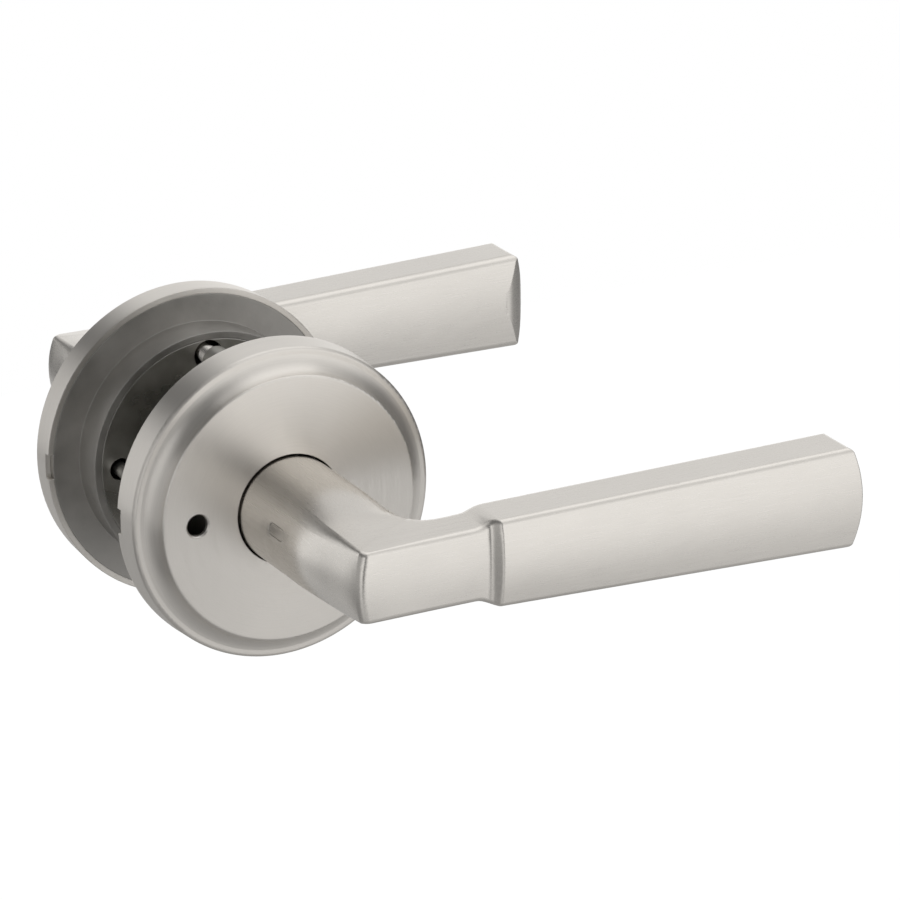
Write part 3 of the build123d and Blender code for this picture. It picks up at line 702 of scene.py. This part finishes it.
class LEVERSET_OT_springs(bpy.types.Operator):
    """Finish the springs, and put copies of those under a pressed piece on their joints' parent bodies"""

    bl_idname = "leverset.springs"
    bl_label = "Springs"

    def execute(self, context):
        for half in HALVES:
            finished(f"{half}_return_spring", spring_wire())
            pressed_spring(f"{half}_catch_leaf", f"{half}_catch_spring", f"{half}_catch_press")
        pressed_spring("button_coil", "button_spring", "button_push")
        return {"FINISHED"}


SCREW_INPUTS = (
    ("Head Radius", "head_radius"),
    ("Head Height", "head_height"),
    ("Rim Height", "rim_height"),
    ("Shank Radius", "shank_radius"),
    ("Length", "length"),
    ("Pitch", "pitch"),
    ("Thread Depth", "thread_depth"),
    ("Recess Span", "recess_span"),
    ("Wing Width", "recess_width"),
    ("Recess Depth", "recess_depth"),
    ("Spacing", "spacing"),
    ("Seat", "seat"),
)
SCREW_COUNT = 2
# Rows of the screw's outline, from the crown to the tip: dome, rim, underside, shank, point, end
DOME_ROWS, RIM_ROWS, SEAT_ROWS, SHANK_ROWS, POINT_ROWS, END_ROWS = 30, 36, 42, 402, 406, 412
# Rows over which the thread begins under the head and ends at the point
RUN_IN = (SEAT_ROWS + 6.0, SEAT_ROWS + 18.0)
RUN_OUT = (SHANK_ROWS - 4.0, float(SHANK_ROWS))
SIDES_ROUND = 32
POINT_LENGTH = 0.0006
DOME_POWER = 3.0
RECESS_TAPER = 0.55
# The recess's middle, in wing widths at its top and foot, and in cutter heights below the crown
MIDDLE_TOP, MIDDLE_FOOT, MIDDLE_SINK = 1.05, 0.45, 0.52
MIDDLE_SIDES = 16
SOFT_EDGE = 0.6


def turned_outline(graph, given, row):
    """Radius and height of the screw's plain outline at a row."""

    def drop(first, last, amount):
        return graph.span(row, float(first), float(last), 0.0, amount)

    out = drop(0, DOME_ROWS, given["Head Radius"])
    under_head = graph.math("SUBTRACT", given["Head Radius"], given["Shank Radius"])
    end_radius = graph.math("SUBTRACT", given["Shank Radius"], POINT_LENGTH)
    radius = graph.math("SUBTRACT", out, drop(RIM_ROWS, SEAT_ROWS, under_head))
    radius = graph.math("SUBTRACT", radius, drop(SHANK_ROWS, POINT_ROWS, POINT_LENGTH))
    radius = graph.math("SUBTRACT", radius, drop(POINT_ROWS, END_ROWS, end_radius))
    dome = graph.math("SUBTRACT", given["Head Height"], given["Rim Height"])
    bow = graph.math("POWER", graph.math("DIVIDE", out, given["Head Radius"]), DOME_POWER)
    height = graph.math("SUBTRACT", given["Head Height"], graph.math("MULTIPLY", dome, bow))
    height = graph.math("SUBTRACT", height, drop(DOME_ROWS, RIM_ROWS, given["Rim Height"]))
    shank = graph.math("SUBTRACT", given["Length"], POINT_LENGTH)
    height = graph.math("SUBTRACT", height, drop(SEAT_ROWS, SHANK_ROWS, shank))
    height = graph.math("SUBTRACT", height, drop(SHANK_ROWS, POINT_ROWS, POINT_LENGTH))
    return radius, height


def threaded_body(graph, given):
    """A screw without its recess: a sheet rolled round the axis, the thread pressed into its shank."""
    sheet = graph.add("GeometryNodeMeshGrid")
    sheet.inputs["Size X"].default_value = 1.0
    sheet.inputs["Size Y"].default_value = 1.0
    sheet.inputs["Vertices X"].default_value = END_ROWS + 1
    sheet.inputs["Vertices Y"].default_value = SIDES_ROUND + 1
    on_sheet = graph.split(graph.add("GeometryNodeInputPosition").outputs[0])
    row = graph.math("MULTIPLY", graph.math("ADD", on_sheet["X"], 0.5), float(END_ROWS))
    round_share = graph.math("ADD", on_sheet["Y"], 0.5)
    radius, height = turned_outline(graph, given, row)
    turns = graph.math("SUBTRACT", graph.math("DIVIDE", height, given["Pitch"]), round_share)
    groove = graph.math("MULTIPLY", graph.math("PINGPONG", turns, 0.5), 2.0)
    share = graph.math("MULTIPLY", graph.span(row, *RUN_IN), graph.span(row, *RUN_OUT, *FALLING))
    depth = graph.math("MULTIPLY", given["Thread Depth"], share)
    radius = graph.math("SUBTRACT", radius, graph.math("MULTIPLY", depth, groove))
    angle = graph.math("MULTIPLY", round_share, 2.0 * math.pi)
    place = graph.join(
        graph.math("MULTIPLY", radius, graph.math("COSINE", angle)),
        graph.math("MULTIPLY", radius, graph.math("SINE", angle)),
        height,
    )
    rolled = graph.add("GeometryNodeSetPosition")
    graph.put(rolled.inputs["Geometry"], sheet.outputs["Mesh"])
    graph.put(rolled.inputs["Position"], place)
    welded = graph.add("GeometryNodeMergeByDistance")
    graph.put(welded.inputs["Geometry"], rolled.outputs["Geometry"])
    welded.inputs["Distance"].default_value = SAME_POINT
    return welded.outputs["Geometry"]


def moved(graph, geometry, **changes):
    """Geometry that is turned or shifted."""
    node = graph.add("GeometryNodeTransform")
    graph.put(node.inputs["Geometry"], geometry)
    for name, value in changes.items():
        graph.put(node.inputs[name], value)
    return node.outputs["Geometry"]


def recess_cutter(graph, given):
    """Two wings and a middle that narrow downwards, from above the crown to the recess's floor."""
    reach = graph.math("MULTIPLY", given["Recess Depth"], 2.0)
    bar = graph.add("GeometryNodeMeshCube")
    graph.put(bar.inputs["Size"], graph.join(given["Recess Span"], given["Wing Width"], reach))
    at = graph.add("GeometryNodeInputPosition").outputs[0]
    low = graph.math("LESS_THAN", graph.split(at)["Z"], 0.0)
    squeeze = graph.span(low, 0.0, 1.0, 1.0, RECESS_TAPER)
    wing = graph.add("GeometryNodeSetPosition")
    graph.put(wing.inputs["Geometry"], bar.outputs["Mesh"])
    graph.put(wing.inputs["Position"], graph.vector("MULTIPLY", at, graph.join(squeeze, squeeze, 1.0)))
    first = wing.outputs["Geometry"]
    second = moved(graph, first, Rotation=(0.0, 0.0, math.pi / 2))
    cone = graph.add("GeometryNodeMeshCone")
    cone.inputs["Vertices"].default_value = MIDDLE_SIDES
    graph.put(cone.inputs["Radius Top"], graph.math("MULTIPLY", given["Wing Width"], MIDDLE_TOP))
    graph.put(cone.inputs["Radius Bottom"], graph.math("MULTIPLY", given["Wing Width"], MIDDLE_FOOT))
    graph.put(cone.inputs["Depth"], reach)
    sink = graph.join(z=graph.math("MULTIPLY", reach, -MIDDLE_SINK))
    middle = moved(graph, cone.outputs["Mesh"], Translation=sink)
    joined = graph.add("GeometryNodeMeshBoolean", operation="UNION", solver="EXACT")
    for part in (first, second, middle):
        graph.put(joined.inputs["Mesh 2"], part)
    return moved(graph, joined.outputs["Mesh"], Translation=graph.join(z=given["Head Height"]))


def screws_tree():
    """A tree that makes the machine screws with their heads facing the room."""
    tree = bpy.data.node_groups.new("Machine Screws", "GeometryNodeTree")
    for label, _ in SCREW_INPUTS:
        tree.interface.new_socket(label, in_out="INPUT", socket_type="NodeSocketFloat")
    tree.interface.new_socket("Finish", in_out="INPUT", socket_type="NodeSocketMaterial")
    tree.interface.new_socket("Geometry", in_out="OUTPUT", socket_type="NodeSocketGeometry")
    graph = Graph(tree)
    given = graph.add("NodeGroupInput").outputs
    cut = graph.add("GeometryNodeMeshBoolean", operation="DIFFERENCE", solver="EXACT")
    graph.put(cut.inputs["Mesh 1"], threaded_body(graph, given))
    graph.put(cut.inputs["Mesh 2"], recess_cutter(graph, given))
    angle = graph.add("GeometryNodeInputMeshEdgeAngle").outputs["Unsigned Angle"]
    shaded = graph.add("GeometryNodeSetShadeSmooth", domain="EDGE")
    graph.put(shaded.inputs["Geometry"], cut.outputs["Mesh"])
    graph.put(shaded.inputs["Shade Smooth"], graph.math("LESS_THAN", angle, SOFT_EDGE))
    row = graph.add("GeometryNodeMeshLine", mode="OFFSET")
    row.inputs["Count"].default_value = SCREW_COUNT
    lowest = graph.math("MULTIPLY", given["Spacing"], -0.5)
    graph.put(row.inputs["Start Location"], graph.join(y=given["Seat"], z=lowest))
    graph.put(row.inputs["Offset"], graph.join(z=given["Spacing"]))
    placed = graph.add("GeometryNodeInstanceOnPoints")
    graph.put(placed.inputs["Points"], row.outputs["Mesh"])
    graph.put(placed.inputs["Instance"], shaded.outputs["Geometry"])
    placed.inputs["Rotation"].default_value = (-math.pi / 2, 0.0, 0.0)
    real = graph.add("GeometryNodeRealizeInstances")
    graph.put(real.inputs["Geometry"], placed.outputs["Instances"])
    painted = graph.add("GeometryNodeSetMaterial")
    graph.put(painted.inputs["Geometry"], real.outputs["Geometry"])
    graph.put(painted.inputs["Material"], given["Finish"])
    target = graph.add("NodeGroupOutput")
    graph.put(target.inputs["Geometry"], painted.outputs["Geometry"])
    return tree


def plain_mesh(piece):
    """Turns a piece's Geometry Nodes result into its own mesh."""
    graph = bpy.context.evaluated_depsgraph_get()
    mesh = bpy.data.meshes.new_from_object(piece.evaluated_get(graph))
    for index in reversed(range(len(mesh.materials))):
        if mesh.materials[index] is None:
            mesh.materials.pop(index=index)
    piece.modifiers.clear()
    piece.data = mesh
    mesh.name = piece.name


class LEVERSET_OT_fasteners(bpy.types.Operator):
    """Make the two threaded screws, and finish the posts that they enter"""

    bl_idname = "leverset.fasteners"
    bl_label = "Fasteners"

    def execute(self, context):
        finished("mounting_posts", plated())
        tree = screws_tree()
        sizes = screw_settings()
        screws = placed_object("machine_screws", bpy.data.meshes.new("machine_screws"))
        modifier = screws.modifiers.new("machine_screws", "NODES")
        modifier.node_group = tree
        inputs = [item for item in tree.interface.items_tree if item.in_out == "INPUT"]
        names = {item.name: item.identifier for item in inputs}
        for label, setting in SCREW_INPUTS:
            modifier[names[label]] = getattr(sizes, setting)
        modifier[names["Finish"]] = bright_nickel()
        plain_mesh(screws)
        if not screws.data.polygons:
            raise RuntimeError("the screws came out empty")
        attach(screws, "chassis")
        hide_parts("mounting_screws")
        return {"FINISHED"}


# The room as the metal shows it, by direction: x to the hinge side, y through the door, z up.
# Pairs are the ends of a passage, and pairs of pairs its ends and its levels.
PANEL_SIDE = 0.42
PANEL_EDGE = (0.15, 0.48)
PANEL_WIDENING = ((0.0, 0.4), (0.0, 0.15))
PANEL_FADING = ((0.14, 0.42), (1.0, 0.58))
CARD_EDGE = (-0.5, -0.2)
CARD_TOP = (0.3, 0.65)
CARD_FADING = ((0.5, 0.78), (0.45, 1.0))
# The floor as the metal shows it, in metres from its middle, with painted shade and a painted pool of light
# in its glow
# Painted shadow: the floor's glow in the metal dims under the object, where the object's shadow would fall
PAINTED_SHADOW_UNDER_OBJECT = ((0.1, 0.45), (0.6, 1.0))
# Painted shade: the floor's glow in the metal darkens off to the latch side
PAINTED_LATCH_SHADE_FAN = ((0.55, 0.84), (0.45, 1.0))
PAINTED_LATCH_SHADE_SIDE = (-0.3, -0.1)
# Painted pool of light: the floor's glow in the metal whitens at the panel's foot
PAINTED_POOL_SLANT = 0.5
PAINTED_POOL_EDGE = (0.04, 0.22)
PAINTED_POOL_START = (0.4, 0.66)
# The floor as it is seen past the object
FLOOR_COLOUR = (0.9, 0.9, 0.9, 1.0)
FLOOR_GLOW, FLOOR_GLOW_SHARE = 1.2, 0.75
FLOOR_CELLS = 8
SOFTBOX_PLACE, SOFTBOX_TARGET, SOFTBOX_SIZE = (0.25, 0.0, 1.2), (0.035, 0.0, 0.0), (1.1, 1.6)
SENSOR_WIDTH = 36.0
NEAR_CLIP = 0.01


def softbox(name, place, target, size, power):
    """A rectangular studio light that looks at a point."""
    light = bpy.data.lights.new(name, "AREA")
    light.shape = "RECTANGLE"
    light.size, light.size_y = size
    light.energy = power
    lamp = placed_object(name, light)
    lamp.location = place
    lamp.rotation_euler = (Vector(place) - Vector(target)).to_track_quat("Z", "Y").to_euler()


def seen_behind(graph, rays):
    """Where the camera sees past the object."""
    return graph.math("MAXIMUM", rays["Is Camera Ray"], rays["Is Transmission Ray"])


def studio_world():
    """White behind the object, and in its metal a dim room with a tall white panel and a white card."""
    world = bpy.data.worlds.new("studio")
    bpy.context.scene.world = world
    graph = empty_graph(world)
    settings = stage_settings()
    side, depth, height = graph.split(graph.add("ShaderNodeTexCoord").outputs["Generated"])
    off_panel = graph.math("ABSOLUTE", graph.math("SUBTRACT", side, PANEL_SIDE))
    widened = graph.math("SUBTRACT", off_panel, graph.ease(height, *PANEL_WIDENING))
    panel = graph.ease(widened, PANEL_EDGE, FALLING)
    tall = graph.math("MULTIPLY", panel, graph.ease(height, *PANEL_FADING))
    with_panel = graph.span(tall, 0.0, 1.0, settings.room_glow, settings.panel_glow)
    beside = graph.ease(side, CARD_EDGE, FALLING)
    card = graph.math("MULTIPLY", beside, graph.ease(height, CARD_TOP, FALLING))
    card = graph.math("MULTIPLY", card, graph.ease(graph.math("ABSOLUTE", depth), *CARD_FADING))
    shown = graph.math("MAXIMUM", with_panel, graph.math("MULTIPLY", card, settings.card_glow))
    rays = graph.add("ShaderNodeLightPath").outputs
    in_metal = graph.span(rays["Is Glossy Ray"], 0.0, 1.0, settings.room_light, shown)
    background = graph.add("ShaderNodeBackground")
    background.inputs["Color"].default_value = WHITE
    strength = graph.math("MAXIMUM", seen_behind(graph, rays), in_metal)
    graph.put(background.inputs["Strength"], strength)
    target = graph.add("ShaderNodeOutputWorld")
    graph.put(target.inputs["Surface"], background.outputs[0])


def floor_glow_with_painted_light(graph):
    """How bright the floor shows in the metal: a painted shadow dims it under the object, painted shade
    darkens it off to the latch side, and a painted pool of light whitens it at the panel's foot.
    """
    settings = stage_settings()
    place = graph.add("ShaderNodeTexCoord").outputs["Object"]
    x, y, _ = graph.split(place)
    out = graph.math("ABSOLUTE", y)
    reach = graph.vector("LENGTH", graph.vector("MULTIPLY", place, (1.0, 1.0, 0.0)))
    # Painted shadow under the object
    under = graph.ease(reach, *PAINTED_SHADOW_UNDER_OBJECT)
    # Painted shade on the latch side, lightest straight ahead of the door
    ahead = graph.ease(graph.math("DIVIDE", out, reach), *PAINTED_LATCH_SHADE_FAN)
    painted_latch_shade = graph.ease(x, PAINTED_LATCH_SHADE_SIDE, (ahead, 1.0))
    # The floor's level in the metal carries the painted shadow and the painted latch-side shade
    table_with_painted_shade = graph.math("MULTIPLY", graph.math("MULTIPLY", under, painted_latch_shade), settings.table_glow)
    # Painted pool of light at the panel's foot
    from_panel = graph.math("SUBTRACT", x, graph.math("MULTIPLY", out, PAINTED_POOL_SLANT))
    near_panel = graph.ease(graph.math("ABSOLUTE", from_panel), PAINTED_POOL_EDGE, FALLING)
    pool = graph.math("MULTIPLY", near_panel, graph.ease(out, PAINTED_POOL_START))
    return graph.span(pool, 0.0, 1.0, table_with_painted_shade, settings.painted_pool_glow)


def floor_material():
    """A white floor that keeps a soft shadow, and that glows in the metal with painted shade and a painted
    pool of light.
    """
    material = bpy.data.materials.new("white_floor")
    graph = empty_graph(material)
    diffuse = graph.add("ShaderNodeBsdfDiffuse")
    diffuse.inputs["Color"].default_value = FLOOR_COLOUR
    rays = graph.add("ShaderNodeLightPath").outputs
    in_metal = rays["Is Glossy Ray"]
    glow = graph.add("ShaderNodeEmission")
    graph.put(glow.inputs["Strength"], graph.span(in_metal, 0.0, 1.0, FLOOR_GLOW, floor_glow_with_painted_light(graph)))
    behind = graph.math("MULTIPLY", seen_behind(graph, rays), FLOOR_GLOW_SHARE)
    mix = graph.add("ShaderNodeMixShader")
    graph.put(mix.inputs["Fac"], graph.math("MAXIMUM", behind, in_metal))
    graph.put(mix.inputs[1], diffuse.outputs[0])
    graph.put(mix.inputs[2], glow.outputs[0])
    target = graph.add("ShaderNodeOutputMaterial")
    graph.put(target.inputs["Surface"], mix.outputs[0])
    return material


def lay_floor():
    settings = stage_settings()
    shape = bmesh.new()
    bmesh.ops.create_grid(
        shape, x_segments=FLOOR_CELLS, y_segments=FLOOR_CELLS, size=settings.floor_reach
    )
    mesh = bpy.data.meshes.new("floor")
    shape.to_mesh(mesh)
    shape.free()
    mesh.transform(Matrix.Translation((0.0, 0.0, -settings.floor_drop)))
    mesh.materials.append(floor_material())
    floor = placed_object("floor", mesh)


def aim_camera():
    settings = stage_settings()
    data = bpy.data.cameras.new("camera")
    data.lens = settings.lens
    data.sensor_width = SENSOR_WIDTH
    data.clip_start = NEAR_CLIP
    camera = placed_object("camera", data)
    about = Matrix.Rotation(-settings.azimuth, 4, "Z")
    down = Matrix.Rotation(math.pi / 2 - settings.elevation, 4, "X")
    roll = Matrix.Rotation(settings.roll, 4, "Z")
    camera.matrix_world = Matrix.Translation(settings.eye) @ about @ down @ roll
    bpy.context.scene.camera = camera


class LEVERSET_OT_stage(bpy.types.Operator):
    """Set up the floor, the light and the camera"""

    bl_idname = "leverset.stage"
    bl_label = "Stage"

    def execute(self, context):
        context.scene.view_settings.view_transform = "Standard"
        lay_floor()
        studio_world()
        power = stage_settings().key_light
        softbox("overhead", SOFTBOX_PLACE, SOFTBOX_TARGET, SOFTBOX_SIZE, power)
        aim_camera()
        return {"FINISHED"}


class LEVERSET_PT_panel(bpy.types.Panel):
    """Pieces of the lever set"""

    bl_label = "Lever Set"
    bl_idname = "LEVERSET_PT_panel"
    bl_space_type = "VIEW_3D"
    bl_region_type = "UI"
    bl_category = "Lever Set"

    def draw(self, context):
        layout = self.layout
        for operator in OPERATORS:
            layout.operator(operator.bl_idname)
        for settings in (finish_settings(), screw_settings(), stage_settings()):
            box = layout.box()
            for name in settings.__annotations__:
                box.prop(settings, name)


OPERATORS = (
    LEVERSET_OT_roses,
    LEVERSET_OT_levers,
    LEVERSET_OT_button,
    LEVERSET_OT_chassis,
    LEVERSET_OT_drive,
    LEVERSET_OT_springs,
    LEVERSET_OT_fasteners,
    LEVERSET_OT_stage,
)
CLASSES = (LeverSetFinish, LeverSetScrews, LeverSetStage, *OPERATORS, LEVERSET_PT_panel)


def register():
    for item in CLASSES:
        bpy.utils.register_class(item)
    bpy.types.Scene.lever_set_finish = bpy.props.PointerProperty(type=LeverSetFinish)
    bpy.types.Scene.lever_set_screws = bpy.props.PointerProperty(type=LeverSetScrews)
    bpy.types.Scene.lever_set_stage = bpy.props.PointerProperty(type=LeverSetStage)


def unregister():
    del bpy.types.Scene.lever_set_stage
    del bpy.types.Scene.lever_set_screws
    del bpy.types.Scene.lever_set_finish
    for item in reversed(CLASSES):
        bpy.utils.unregister_class(item)


def main():
    register()
    bpy.ops.leverset.roses()
    bpy.ops.leverset.levers()
    bpy.ops.leverset.button()
    bpy.ops.leverset.chassis()
    bpy.ops.leverset.drive()
    bpy.ops.leverset.springs()
    bpy.ops.leverset.fasteners()
    bpy.ops.leverset.stage()


if __name__ == "__main__":
    main()
